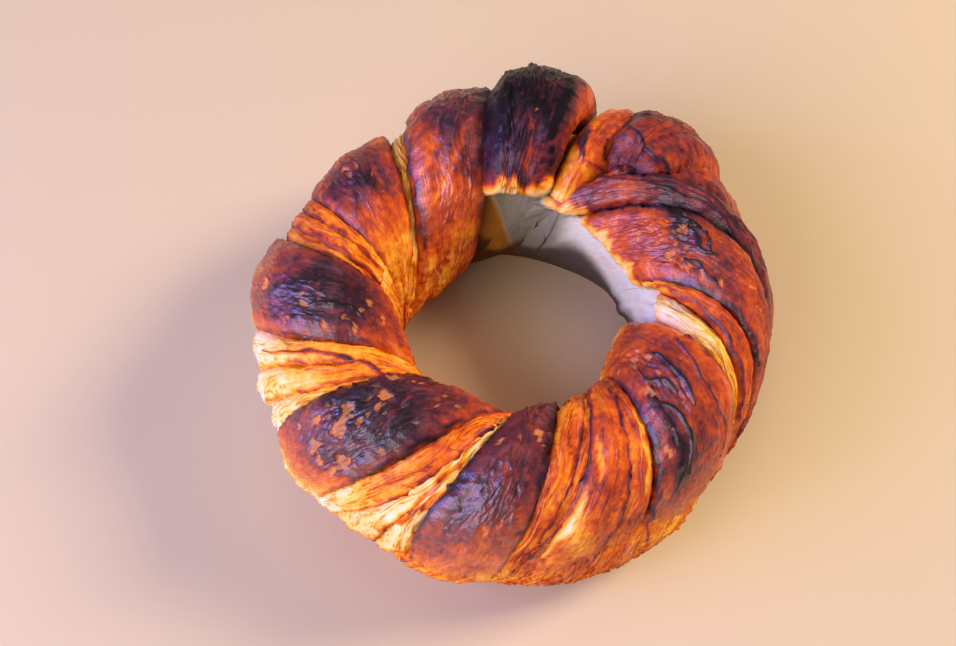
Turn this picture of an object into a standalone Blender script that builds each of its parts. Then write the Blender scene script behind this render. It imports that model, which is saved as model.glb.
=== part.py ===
# Ring danish: a laminated dough strip twisted into a closed ring and baked.
# A plain ring of crumb carries the folds of the twist, which lie side by side across it and
# lean round it like the strands of a rope. All of it is one solid, with a flat underside.

import bmesh
import bpy
from collections import namedtuple
from math import copysign, cos, hypot, pi, radians, sin

# Driving sizes, in metres
RING_RADIUS = 0.0475         # middle of the hole to the middle of the dough
CRUMB_HALF_WIDTH = 0.0145    # half the width of the crumb under the folds
CRUMB_HEIGHT = 0.040         # height of the crumb under the folds, above the tray
SAG = 0.003                  # what the crumb's underside has sunk flat on the tray
SQUARENESS = 2.25            # 2 is an elliptic section, more is boxier
HOLE_CENTRE = (-0.00034, -0.0043)    # puts the middle of the whole part's box at the origin

FOLD_STATIONS = 17           # sections along a fold
FOLD_START = -50.0           # degrees round the section, below the outer side
FOLD_END = 228.0             # the same, below the inner side
END_TAPER = 45.0             # degrees over which a fold's end sinks into the crumb
PITCH = 0.30                 # degrees round the ring for each degree under the dough
END_LIFT = 0.1               # share of its lift that a sunk end keeps
LEAST_LIFT = 0.0003
NO_RIM = 360.0               # past every fold's end
RIM_STEP = 11.0              # degrees over which a fold steps back past its rim
WALL_LIFT = 0.001            # thickness of a fold on the wall round the hole
LEAST_HALF_WIDTH = 0.0006

EDGE_RADIUS = 0.0070         # largest radius of a rolled edge
EDGE_RADIUS_TO_LIFT = 0.55
EDGE_RADIUS_TO_WIDTH = 0.8
EDGE_ANGLES = (-55.0, 0.0, 48.0, 90.0)    # stations round a rolled edge, 90 is on top
EDGE_OVERHANG = 0.0007       # what a rolled edge stands over its seam
EDGE_FOOT = 0.3              # how far out the foot under a rolled edge is, in its radius
FADE_PROFILE = ((0.75, 0.2), (0.5, 0.58), (0.25, 0.92))    # shares of half width and of lift
TUCK = 0.0018                # what a tucked edge runs on under its neighbour
TUCK_PROFILE = ((0.6, 0.45), (-0.1, 0.8))    # shares of the tuck past the seam, and of lift
TUCK_TOP = 0.45              # share of half width where a tucked edge starts to fall
ROOT_DEPTH = 0.0035          # how deep a fold is rooted in the crumb
ROOT_WIDTH = 0.6             # width of the root, as a share of the fold's
CROWN = 0.10                 # rise of a fold's middle for each unit of half width
CROWN_WIDTH = 0.012          # half width past which the crown grows no more
TOP_SPACING = 0.012          # between the points along the top of a fold's section
CRUMB_SEGMENTS = 48
CRUMB_SECTION_STEPS = 20
TRAY_BLOCK = (0.2, 0.2, 0.02)
SHARP_EDGE = 35.0            # degrees between faces past which an edge is shaded sharp

# Where each seam between two folds meets the outer side, the crest and the inner side, in
# degrees round the ring. Zero is at +X, and the ring is seen from above.
SEAMS = {
    "a": (326, 348.5, 393), "b": (336, 355, 385), "c": (349, 384, 444), "d": (373, 402, 472),
    "e": (71, 71, 81), "f": (94, 109, 126), "behind_f": (86, 97, 112), "g": (104, 124.5, 153),
    "h": (125, 131, 165),
    "i": (140, 156, 171), "j": (145, 161, 176), "k": (149, 166.5, 181), "l": (156, 172, 186),
    "m": (175, 200, 220), "n": (189, 208, 238), "o": (197.5, 215, 237), "p": (208.5, 218, 238),
    "q": (223, 244.5, 280), "r": (228.5, 254.5, 284), "s": (239, 256, 286),
    "t": (248.5, 259.5, 296), "u": (265, 277.5, 297), "v": (267.5, 286.5, 320),
    "w": (268, 290.5, 321), "x": (285, 301, 323), "y": (298, 308, 325), "z": (319, 336, 360),
    "bed": (45, 52, 62), "knob_right": (38, 42, 75), "knob_left": (66, 57, 62),
    "foot_left": (262, 277, 290), "foot_right": (313, 328, 340),
}

# A fold lies between two seams. Its lift is its thickness over the crumb, in millimetres, at
# the outer side, the crest and the inner side. An edge is rolled over its neighbour, tucked
# under it, or fades into the dough below. Past its rim the fold steps back to the thin wall
# round the hole. It runs up from the tray to its end, and its taper is how soon it sinks there.
# These three are in degrees round the section.
Fold = namedtuple("Fold", "name seams lift edges rim end taper",
                  defaults=(NO_RIM, FOLD_END, END_TAPER))
FOLDS = (
    Fold("butter valley", "za", (0.3, 4.6, 4.5), "tuck tuck", 124.0),
    Fold("right flap", "ab", (0.6, 6.6, 5.0), "roll tuck", 131.0),
    Fold("right lobe", "bc", (2.2, 8.6, 6.0), "roll roll", 140.0),
    Fold("right shoulder", "cd", (5.6, 8.2, 5.6), "tuck roll", 137.0),
    Fold("back right bed", ("d", "bed"), (8.5, 6.6, 5.0), "tuck tuck", 134.0),
    Fold("back right step", ("bed", "e"), (10.5, 9.0, 5.0), "fade tuck", 130.0),
    Fold("back right knob", ("knob_right", "knob_left"), (14.0, 13.0, 0.0), "roll roll",
         end=100.0, taper=16.0),
    Fold("back lobe", "ef", (12.5, 17.0, 6.0), "roll fade", 128.0),
    Fold("back left lobe", ("behind_f", "g"), (6.5, 11.5, 6.4), "roll roll"),
    Fold("left valley", "gh", (1.0, 4.5, 4.0), "tuck tuck"),
    Fold("left knob", "hi", (3.4, 7.0, 3.4), "roll roll"),
    Fold("left leaf 1", "ij", (2.6, 5.6, 3.0), "tuck roll"),
    Fold("left leaf 2", "jk", (3.2, 6.0, 3.2), "tuck roll"),
    Fold("left leaf 3", "kl", (3.2, 5.2, 3.2), "roll tuck"),
    Fold("left lobe", "lm", (6.2, 8.4, 4.2), "roll roll"),
    Fold("lower left leaf 1", "mn", (5.0, 6.0, 4.0), "tuck roll"),
    Fold("lower left leaf 2", "no", (5.2, 6.0, 4.0), "tuck roll"),
    Fold("lower left leaf 3", "op", (3.6, 5.0, 3.6), "tuck tuck"),
    Fold("lower left lobe", "pq", (5.4, 8.4, 5.4), "roll roll"),
    Fold("lower left flank", "qr", (4.4, 6.4, 4.4), "tuck roll"),
    Fold("cream leaf 1", "rs", (3.8, 5.0, 4.0), "tuck roll"),
    Fold("cream leaf 2", "st", (3.4, 5.0, 4.0), "tuck tuck"),
    Fold("front lobe", "tu", (5.0, 8.6, 5.4), "roll roll"),
    Fold("front leaf 1", "uv", (4.0, 6.8, 4.8), "tuck roll"),
    Fold("front leaf 2", "vw", (3.0, 5.8, 4.4), "tuck roll"),
    Fold("front leaf 3", "wx", (3.2, 7.2, 5.2), "roll roll"),
    Fold("front leaf 4", "xy", (1.8, 6.6, 4.8), "roll tuck"),
    Fold("lower right lobe", "yz", (1.6, 8.2, 6.2), "roll roll"),
    Fold("front foot", ("foot_left", "foot_right"), (4.0, 4.0, 4.0), "roll roll", end=28.0),
)

CRUST_COLOUR = (0.23, 0.065, 0.02, 1.0)      # linear red-brown of a dark baked crust
CRUST_ROUGHNESS = 0.38


def clamp(value, low, high):
    return max(low, min(high, value))


def smooth(value):
    return value * value * (3 - 2 * value)


def signed_power(value, power):
    return copysign(abs(value) ** power, value)


def seam_angle(seam, turn):
    """Degrees round the ring of a seam, with turn -1 at the outer side and +1 at the inner."""
    outer, crest, inner = SEAMS[seam]
    on_dough = clamp(turn, -1, 1)
    slope = (inner - outer) / 2
    bend = (inner + outer) / 2 - crest
    return crest + slope * on_dough + bend * on_dough ** 2 + 90 * PITCH * (turn - on_dough)


def shortest_way(degrees):
    """The same step round the ring, taken by its short side."""
    return (degrees + 180) % 360 - 180


def fold_lift(lift, turn):
    """Thickness of a fold, eased from its crest to its two sides."""
    outer, crest, inner = lift
    side = inner if turn > 0 else outer
    return crest + (side - crest) * smooth(min(abs(turn), 1))


def section_point(angle, height):
    """Distance from the ring's middle line, and height, of a point over the crumb."""
    half_height = (CRUMB_HEIGHT + SAG) / 2
    c, s = cos(radians(angle)), sin(radians(angle))
    across = CRUMB_HALF_WIDTH * signed_power(c, 2 / SQUARENESS)
    up = half_height * signed_power(s, 2 / SQUARENESS)
    normal_across = signed_power(c, 2 - 2 / SQUARENESS) / CRUMB_HALF_WIDTH
    normal_up = signed_power(s, 2 - 2 / SQUARENESS) / half_height
    length = hypot(normal_across, normal_up)
    return (across + height * normal_across / length,
            half_height - SAG + up + height * normal_up / length)


def ring_point(around, angle, height):
    """A point of the dough: degrees round the ring, degrees round the section, height."""
    across, up = section_point(angle, height)
    reach = RING_RADIUS + across
    return (HOLE_CENTRE[0] + reach * cos(radians(around)),
            HOLE_CENTRE[1] + reach * sin(radians(around)), up)


def edge_outline(kind, half_width, lift):
    """Half of a fold's section, from under its edge to near its middle."""
    if kind == "roll":
        radius = min(EDGE_RADIUS_TO_LIFT * lift, EDGE_RADIUS_TO_WIDTH * half_width, EDGE_RADIUS)
        centre = half_width + EDGE_OVERHANG - radius
        arc = [(centre + radius * cos(radians(a)), lift - radius + radius * sin(radians(a)))
               for a in EDGE_ANGLES]
        return [(centre + EDGE_FOOT * radius, -ROOT_DEPTH / 2)] + arc
    if kind == "fade":
        slope = [(width * half_width, up * lift) for width, up in FADE_PROFILE]
        return [(half_width, -ROOT_DEPTH / 2)] + slope
    slope = [(half_width + past * TUCK, up * lift) for past, up in TUCK_PROFILE]
    return [(half_width + TUCK, -ROOT_DEPTH / 2)] + slope + [(TUCK_TOP * half_width, lift)]


def fold_outline(fold, half_width, lift, top_points):
    """The closed section of a fold, as distances across it and heights over the crumb."""
    left, right = fold.edges.split()
    left_half = [(-across, up) for across, up in edge_outline(left, half_width, lift)]
    right_half = edge_outline(right, half_width, lift)[::-1]
    start, end = left_half[-1][0], right_half[0][0]
    crown = CROWN * min(half_width, CROWN_WIDTH)
    top = []
    for i in range(1, top_points + 1):
        across = start + (end - start) * i / (top_points + 1)
        top.append((across, lift + crown * (1 - (across / half_width) ** 2)))
    root = ROOT_WIDTH * half_width
    return left_half + top + right_half + [(root, -ROOT_DEPTH), (-root, -ROOT_DEPTH)]


def crest_width(fold):
    start, end = (SEAMS[seam][1] for seam in fold.seams)
    return radians(shortest_way(end - start)) * RING_RADIUS


def fold_sections(fold):
    """The fold's sections in place, from below the outer side over to the inner side."""
    top_points = 1 + int(crest_width(fold) / TOP_SPACING)
    sections = []
    for station in range(FOLD_STATIONS):
        angle = FOLD_START + (fold.end - FOLD_START) * station / (FOLD_STATIONS - 1)
        turn = angle / 90 - 1
        start = seam_angle(fold.seams[0], turn)
        end = start + shortest_way(seam_angle(fold.seams[1], turn) - start)
        per_degree = (RING_RADIUS + section_point(angle, 0)[0]) * pi / 180
        half_width = max((end - start) / 2 * per_degree, LEAST_HALF_WIDTH)
        risen = smooth(clamp((angle - FOLD_START) / END_TAPER, 0, 1))
        risen *= smooth(clamp((fold.end - angle) / fold.taper, 0, 1))
        lift = fold_lift(fold.lift, turn) / 1000
        lift += (WALL_LIFT - lift) * smooth(clamp((angle - fold.rim) / RIM_STEP, 0, 1))
        lift *= END_LIFT + (1 - END_LIFT) * risen
        outline = fold_outline(fold, half_width, max(lift, LEAST_LIFT), top_points)
        sections.append([ring_point((start + end) / 2 + across / per_degree, angle, up)
                         for across, up in outline])
    return sections


def add_object(name, mesh, collection):
    """A closed body from a bmesh, with its faces pointing out."""
    bmesh.ops.recalc_face_normals(mesh, faces=mesh.faces)
    data = bpy.data.meshes.new(name)
    mesh.to_mesh(data)
    mesh.free()
    obj = bpy.data.objects.new(name, data)
    collection.objects.link(obj)
    return obj


def make_fold(fold, collection):
    """A fold is a loft, because its section changes in width, lift and lean along it."""
    mesh = bmesh.new()
    rows = [[mesh.verts.new(point) for point in section] for section in fold_sections(fold)]
    count = len(rows[0])
    for row, following in zip(rows, rows[1:]):
        for i in range(count):
            j = (i + 1) % count
            mesh.faces.new((row[i], row[j], following[j], following[i]))
    mesh.faces.new(rows[0])
    mesh.faces.new(rows[-1][::-1])
    bmesh.ops.triangulate(mesh, faces=mesh.faces)
    return add_object(fold.name, mesh, collection)


def make_crumb(name, collection):
    """The crumb is a turned ring: its section swept round the hole."""
    mesh = bmesh.new()
    loop = [mesh.verts.new((RING_RADIUS + across, 0, up)) for across, up in
            (section_point(360 * i / CRUMB_SECTION_STEPS, 0) for i in range(CRUMB_SECTION_STEPS))]
    edges = [mesh.edges.new((loop[i - 1], loop[i])) for i in range(CRUMB_SECTION_STEPS)]
    bmesh.ops.spin(mesh, geom=loop + edges, cent=(0, 0, 0), axis=(0, 0, 1), angle=2 * pi,
                   steps=CRUMB_SEGMENTS, use_merge=True)
    bmesh.ops.translate(mesh, verts=mesh.verts, vec=(*HOLE_CENTRE, 0))
    return add_object(name, mesh, collection)


def make_tray_cutter(collection):
    """A block whose top is the tray, which leaves the underside flat."""
    mesh = bmesh.new()
    bmesh.ops.create_cube(mesh, size=1)
    bmesh.ops.scale(mesh, verts=mesh.verts, vec=TRAY_BLOCK)
    bmesh.ops.translate(mesh, verts=mesh.verts, vec=(0, 0, -TRAY_BLOCK[2] / 2))
    cutter = add_object("tray cutter", mesh, collection)
    cutter.hide_render = True
    cutter.display_type = "WIRE"
    return cutter


def apply_modifiers(obj):
    depsgraph = bpy.context.evaluated_depsgraph_get()
    baked = bpy.data.meshes.new_from_object(obj.evaluated_get(depsgraph))
    obj.modifiers.clear()
    obj.data = baked


def join_folds(ring, folds):
    """One union of the crumb and its folds, whose objects are then removed."""
    join = ring.modifiers.new("join folds", "BOOLEAN")
    join.operation = "UNION"
    join.operand_type = "COLLECTION"
    join.collection = folds
    join.solver = "MANIFOLD"
    apply_modifiers(ring)
    for obj in list(folds.objects):
        bpy.data.objects.remove(obj, do_unlink=True)
    bpy.data.collections.remove(folds)


def flatten_underside(ring, cutter):
    flat = ring.modifiers.new("flat underside", "BOOLEAN")
    flat.operation = "DIFFERENCE"
    flat.object = cutter
    flat.solver = "MANIFOLD"
    apply_modifiers(ring)


def keep_main_body(obj):
    """Fill the sealed hollows that joining leaves, and drop loose scraps."""
    mesh = bmesh.new()
    mesh.from_mesh(obj.data)
    left = set(mesh.verts)
    bodies = []
    while left:
        body = {left.pop()}
        front = list(body)
        while front:
            vert = front.pop()
            for edge in vert.link_edges:
                other = edge.other_vert(vert)
                if other not in body:
                    body.add(other)
                    front.append(other)
        left -= body
        bodies.append(body)
    bodies.sort(key=len)
    bmesh.ops.delete(mesh, geom=[v for body in bodies[:-1] for v in body], context="VERTS")
    bmesh.ops.triangulate(mesh, faces=mesh.faces)
    mesh.to_mesh(obj.data)
    mesh.free()


def crust_material():
    """Egg-washed crust, browned and slightly glossy."""
    material = bpy.data.materials.new("egg-washed crust")
    material.use_nodes = True
    shader = material.node_tree.nodes["Principled BSDF"]
    shader.inputs["Base Color"].default_value = CRUST_COLOUR
    shader.inputs["Roughness"].default_value = CRUST_ROUGHNESS
    shader.inputs["Metallic"].default_value = 0.0
    return material


def main():
    for obj in list(bpy.data.objects):
        bpy.data.objects.remove(obj, do_unlink=True)
    danish = bpy.data.collections.new("ring danish")
    folds = bpy.data.collections.new("folds")
    cutters = bpy.data.collections.new("cutters")
    for collection in (danish, folds, cutters):
        bpy.context.scene.collection.children.link(collection)

    ring = make_crumb("twisted_ring", danish)
    for fold in FOLDS:
        make_fold(fold, folds)
    join_folds(ring, folds)
    flatten_underside(ring, make_tray_cutter(cutters))
    keep_main_body(ring)
    ring.data.materials.clear()
    ring.data.materials.append(crust_material())
    ring.data.shade_smooth()
    ring.data.set_sharp_from_angle(angle=radians(SHARP_EDGE))


main()
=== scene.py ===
import bpy
import numpy as np
from math import pi
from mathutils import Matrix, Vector


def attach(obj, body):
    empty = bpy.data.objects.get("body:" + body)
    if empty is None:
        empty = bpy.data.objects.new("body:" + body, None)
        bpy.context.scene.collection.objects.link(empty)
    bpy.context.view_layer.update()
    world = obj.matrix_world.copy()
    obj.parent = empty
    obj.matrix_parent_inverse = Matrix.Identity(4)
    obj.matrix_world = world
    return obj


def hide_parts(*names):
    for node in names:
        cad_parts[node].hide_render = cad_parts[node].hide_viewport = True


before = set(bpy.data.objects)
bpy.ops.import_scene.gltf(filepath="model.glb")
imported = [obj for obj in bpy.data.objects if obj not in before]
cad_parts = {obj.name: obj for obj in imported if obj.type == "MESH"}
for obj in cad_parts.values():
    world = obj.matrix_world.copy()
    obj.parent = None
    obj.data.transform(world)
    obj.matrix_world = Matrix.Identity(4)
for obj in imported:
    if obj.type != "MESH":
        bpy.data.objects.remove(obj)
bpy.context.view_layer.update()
solidNode = "twisted_ring"

# The dough has the solid's own form: millimetres, degrees round the ring (0 at +X, seen from
# above) and degrees round its section (0 the outer side, 90 the crest, 180 the inner side).
dough = {
    "ringRadius": 47.5, "halfWidth": 14.5, "crumbHeight": 40.0, "sag": 3.0,
    "squareness": 2.25, "centre": (-0.34, -4.3),
    "sectionDegree": 0.5,    # mm of surface per degree round the section
    "foldStart": -50.0, "foldEnd": 228.0, "endTaper": 45.0, "pitch": 0.30, "endLift": 0.1,
    "leastLift": 0.3, "leastHalfWidth": 0.6,
    "edgeRadius": 7.0, "radiusToLift": 0.55, "radiusToWidth": 0.8, "overhang": 0.7,
    "edgeFoot": 0.3, "tuck": 1.2, "tuckTop": 0.3, "tuckBend": 1.8, "fadeTop": 0.1,
    "wallLift": 1.0, "wallStep": 11.0,
    "rootDepth": 3.5, "rootWidth": 0.6, "crown": 0.10, "crownWidth": 12.0,
    "underside": 0.25, "undersideRounding": 0.5,
}

# Where each seam between two folds meets the outer side, the crest and the inner side.
seams = {
    "a": (326, 348.5, 393), "b": (336, 355, 385), "c": (349, 384, 444), "d": (373, 402, 472),
    "e": (71, 71, 81), "f": (94, 109, 126), "behindF": (86, 97, 112), "g": (104, 124.5, 153),
    "h": (125, 131, 165),
    "i": (140, 156, 171), "j": (145, 161, 176), "k": (149, 166.5, 181), "l": (156, 172, 186),
    "m": (175, 200, 220), "n": (189, 208, 238), "o": (197.5, 215, 237), "p": (208.5, 218, 238),
    "q": (223, 244.5, 280), "r": (228.5, 254.5, 284), "s": (239, 256, 286),
    "t": (248.5, 259.5, 296), "u": (265, 277.5, 297), "v": (267.5, 286.5, 320),
    "w": (268, 290.5, 321), "x": (285, 301, 323), "y": (298, 308, 325), "z": (319, 336, 360),
    "bed": (45, 52, 62), "knobRight": (38, 42, 75), "knobLeft": (66, 57, 62),
    "footLeft": (262, 277, 290), "footRight": (313, 328, 340),
}

# brown: how far a fold is baked, 0 raw to 1 burnt, at the stations round the section.
# skin: 1 where the smooth egg-washed outside of the strip shows, 0 where its cut layers do.
# rim: what the browning gains at the fold's two edges.
# pale: the angle round the section past which the dough stayed raw and smooth.
brownStations = (-50, 0, 45, 90, 135, 180, 228)
# the pale outer feet (-50 and 0) of the left and lower left folds are partly paler dough and partly painted
# light on the side that the key leaves in shade
folds = {
    "butterValley": {
        "seams": "za", "lift": (0.3, 4.6, 4.5), "edges": "tuck tuck", "skin": 0.35, "pale": 124,
        "brown": (0.40, 0.38, 0.33, 0.27, 0.14, 0.06, 0.10), "rim": (0.12, 0.10)},
    "rightFlap": {
        "seams": "ab", "lift": (0.6, 6.6, 5.0), "edges": "roll tuck", "skin": 0.5, "pale": 131,
        "brown": (0.54, 0.57, 0.60, 0.60, 0.38, 0.08, 0.12), "rim": (-0.08, 0.25)},
    "rightLobe": {
        "seams": "bc", "lift": (2.2, 8.6, 6.0), "edges": "roll roll", "skin": 0.9, "pale": 140,
        "brown": (0.56, 0.62, 0.65, 0.66, 0.58, 0.06, 0.10), "rim": (0.05, 0.05)},
    "rightShoulder": {
        "seams": "cd", "lift": (5.6, 8.2, 5.6), "edges": "tuck roll", "skin": 0.9, "pale": 137,
        "brown": (0.54, 0.66, 0.75, 0.75, 0.64, 0.05, 0.10), "rim": (0.20, 0.05)},
    "backRightBed": {
        "seams": ("d", "bed"), "lift": (8.5, 6.6, 5.0), "edges": "tuck tuck", "skin": 0.8, "pale": 134,
        "brown": (0.46, 0.58, 0.72, 0.72, 0.50, 0.08, 0.10), "rim": (0.10, 0.10)},
    "backRightStep": {
        "seams": ("bed", "e"), "lift": (10.5, 9.0, 5.0), "edges": "fade tuck", "skin": 0.8, "pale": 130,
        "brown": (0.46, 0.52, 0.58, 0.58, 0.34, 0.08, 0.10), "rim": (0.0, 0.15)},
    "backRightKnob": {
        "seams": ("knobRight", "knobLeft"), "lift": (14.0, 13.0, 0.0), "edges": "roll roll",
        "skin": 0.45, "end": 100.0, "taper": 16.0,
        "brown": (0.46, 0.58, 0.71, 0.73, 0.65, 0.50, 0.50), "rim": (-0.06, 0.00)},
    "backLobe": {
        "seams": "ef", "lift": (12.5, 17.0, 6.0), "edges": "roll fade", "skin": 0.3, "pale": 128,
        "brown": (0.58, 0.74, 0.97, 1.00, 0.74, 0.30, 0.40), "rim": (-0.10, -0.18)},
    "backLeftLobe": {
        "seams": ("behindF", "g"), "lift": (6.5, 11.5, 6.4), "edges": "roll roll", "skin": 1.0,
        "brown": (0.48, 0.62, 0.74, 0.70, 0.57, 0.42, 0.50), "rim": (0.22, -0.04)},
    "leftValley": {
        "seams": "gh", "lift": (1.0, 4.5, 4.0), "edges": "tuck tuck", "skin": 0.3,
        "brown": (0.42, 0.44, 0.36, 0.33, 0.26, 0.45, 0.58), "rim": (0.12, 0.12)},
    "leftKnob": {
        "seams": "hi", "lift": (3.4, 7.0, 3.4), "edges": "roll roll", "skin": 0.7,
        "brown": (0.24, 0.36, 0.68, 0.72, 0.40, 0.44, 0.56), "rim": (-0.12, -0.05)},
    "leftLeaf1": {
        "seams": "ij", "lift": (2.6, 5.6, 3.0), "edges": "tuck roll", "skin": 0.2,
        "brown": (0.24, 0.40, 0.56, 0.50, 0.35, 0.40, 0.52), "rim": (0.15, 0.0)},
    "leftLeaf2": {
        "seams": "jk", "lift": (3.2, 6.0, 3.2), "edges": "tuck roll", "skin": 0.3,
        "brown": (0.24, 0.40, 0.56, 0.50, 0.34, 0.38, 0.52), "rim": (0.15, 0.0)},
    "leftLeaf3": {
        "seams": "kl", "lift": (3.2, 5.2, 3.2), "edges": "roll tuck", "skin": 0.2,
        "brown": (0.24, 0.40, 0.56, 0.48, 0.34, 0.38, 0.50), "rim": (0.0, 0.15)},
    "leftLobe": {
        "seams": "lm", "lift": (6.2, 8.4, 4.2), "edges": "roll roll", "skin": 0.9,
        "brown": (0.16, 0.28, 0.70, 0.83, 0.62, 0.42, 0.50), "rim": (-0.12, -0.26)},
    "lowerLeftLeaf1": {
        "seams": "mn", "lift": (5.0, 6.0, 4.0), "edges": "tuck roll", "skin": 0.15,
        "brown": (0.08, 0.10, 0.21, 0.38, 0.42, 0.38, 0.48), "rim": (0.06, 0.00)},
    "lowerLeftLeaf2": {
        "seams": "no", "lift": (5.2, 6.0, 4.0), "edges": "tuck roll", "skin": 0.1,
        "brown": (0.09, 0.12, 0.26, 0.43, 0.42, 0.34, 0.45), "rim": (0.08, 0.00)},
    "lowerLeftLeaf3": {
        "seams": "op", "lift": (3.6, 5.0, 3.6), "edges": "tuck tuck", "skin": 0.1,
        "brown": (0.10, 0.13, 0.27, 0.44, 0.41, 0.32, 0.45), "rim": (0.08, 0.08)},
    "lowerLeftLobe": {
        "seams": "pq", "lift": (5.4, 8.4, 5.4), "edges": "roll roll", "skin": 0.95,
        "brown": (0.17, 0.27, 0.70, 0.84, 0.66, 0.42, 0.50), "rim": (0.00, -0.24)},
    "lowerLeftFlank": {
        "seams": "qr", "lift": (4.4, 6.4, 4.4), "edges": "tuck roll", "skin": 0.1,
        "brown": (0.18, 0.19, 0.34, 0.51, 0.48, 0.40, 0.50), "rim": (0.10, 0.05)},
    "creamLeaf1": {
        "seams": "rs", "lift": (3.8, 5.0, 4.0), "edges": "tuck roll", "skin": 0.0,
        "brown": (0.44, 0.26, 0.18, 0.19, 0.28, 0.36, 0.45), "rim": (0.08, -0.02)},
    "creamLeaf2": {
        "seams": "st", "lift": (3.4, 5.0, 4.0), "edges": "tuck tuck", "skin": 0.0,
        "brown": (0.46, 0.30, 0.19, 0.19, 0.28, 0.36, 0.45), "rim": (0.06, 0.04)},
    "frontLobe": {
        "seams": "tu", "lift": (5.0, 8.6, 5.4), "edges": "roll roll", "skin": 1.0,
        "brown": (0.32, 0.47, 0.71, 0.83, 0.72, 0.48, 0.50), "rim": (-0.02, -0.16)},
    "frontLeaf1": {
        "seams": "uv", "lift": (4.0, 6.8, 4.8), "edges": "tuck roll", "skin": 0.1,
        "brown": (0.34, 0.38, 0.52, 0.55, 0.50, 0.42, 0.50), "rim": (0.05, 0.05)},
    "frontLeaf2": {
        "seams": "vw", "lift": (3.0, 5.8, 4.4), "edges": "tuck roll", "skin": 0.1,
        "brown": (0.34, 0.40, 0.51, 0.54, 0.50, 0.42, 0.50), "rim": (0.14, 0.06)},
    "frontLeaf3": {
        "seams": "wx", "lift": (3.2, 7.2, 5.2), "edges": "roll roll", "skin": 0.5,
        "brown": (0.48, 0.50, 0.56, 0.58, 0.52, 0.42, 0.50), "rim": (0.0, 0.05)},
    "frontLeaf4": {
        "seams": "xy", "lift": (1.8, 6.6, 4.8), "edges": "roll tuck", "skin": 0.45,
        "brown": (0.50, 0.54, 0.58, 0.60, 0.54, 0.42, 0.50), "rim": (0.04, 0.06)},
    "lowerRightLobe": {
        "seams": "yz", "lift": (1.6, 8.2, 6.2), "edges": "roll roll", "skin": 0.8,
        "brown": (0.46, 0.58, 0.65, 0.65, 0.60, 0.24, 0.30), "rim": (-0.06, -0.12)},
    "frontFoot": {
        "seams": ("footLeft", "footRight"), "lift": (4.0, 4.0, 4.0), "edges": "roll roll",
        "skin": 0.3, "end": 28.0,
        "brown": (0.52, 0.56, 0.56, 0.54, 0.50, 0.50, 0.50), "rim": (-0.05, -0.05)},
}

# Patches that are baked darker or paler than the rest of their fold: degrees round the ring,
# degrees round the section, their half sizes in the same degrees, and what browning they add.
patches = (
    (69, 74, 4, 30, -0.30), (101, 84, 6, 30, 0.10), (92, 140, 12, 14, -0.10), (120, 60, 7, 30, -0.12),
    (112, 96, 6, 24, 0.12), (20, 96, 10, 8, 0.30), (56, 62, 4, 12, 0.18), (340, 40, 10, 24, -0.04),
    (142, 82, 9, 20, 0.10), (186, 96, 12, 26, 0.14), (176, 60, 6, 20, -0.10),
    (228, 84, 13, 40, 0.10), (252, 60, 8, 30, 0.08), (309, 62, 5, 32, 0.14), (320, 97, 6, 14, 0.12),
    (345, 100, 8, 18, -0.06), (302, 6, 14, 14, -0.10), (282, 40, 3, 22, -0.14),
)

# Where the skin has risen in blisters: the same degrees, and how thickly they stand.
blisterPatches = (
    (14, 95, 16, 13, 0.9), (30, 112, 12, 8, 0.5), (232, 84, 15, 42, 0.9), (247, 116, 9, 14, 0.7),
    (316, 98, 12, 34, 0.9), (190, 88, 14, 30, 0.4), (275, 110, 6, 22, 0.6), (262, 62, 8, 34, 0.3),
    (142, 84, 8, 20, 0.35), (90, 100, 15, 40, 0.1), (50, 88, 14, 22, 0.25), (300, 8, 30, 14, 0.4),
)

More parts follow.
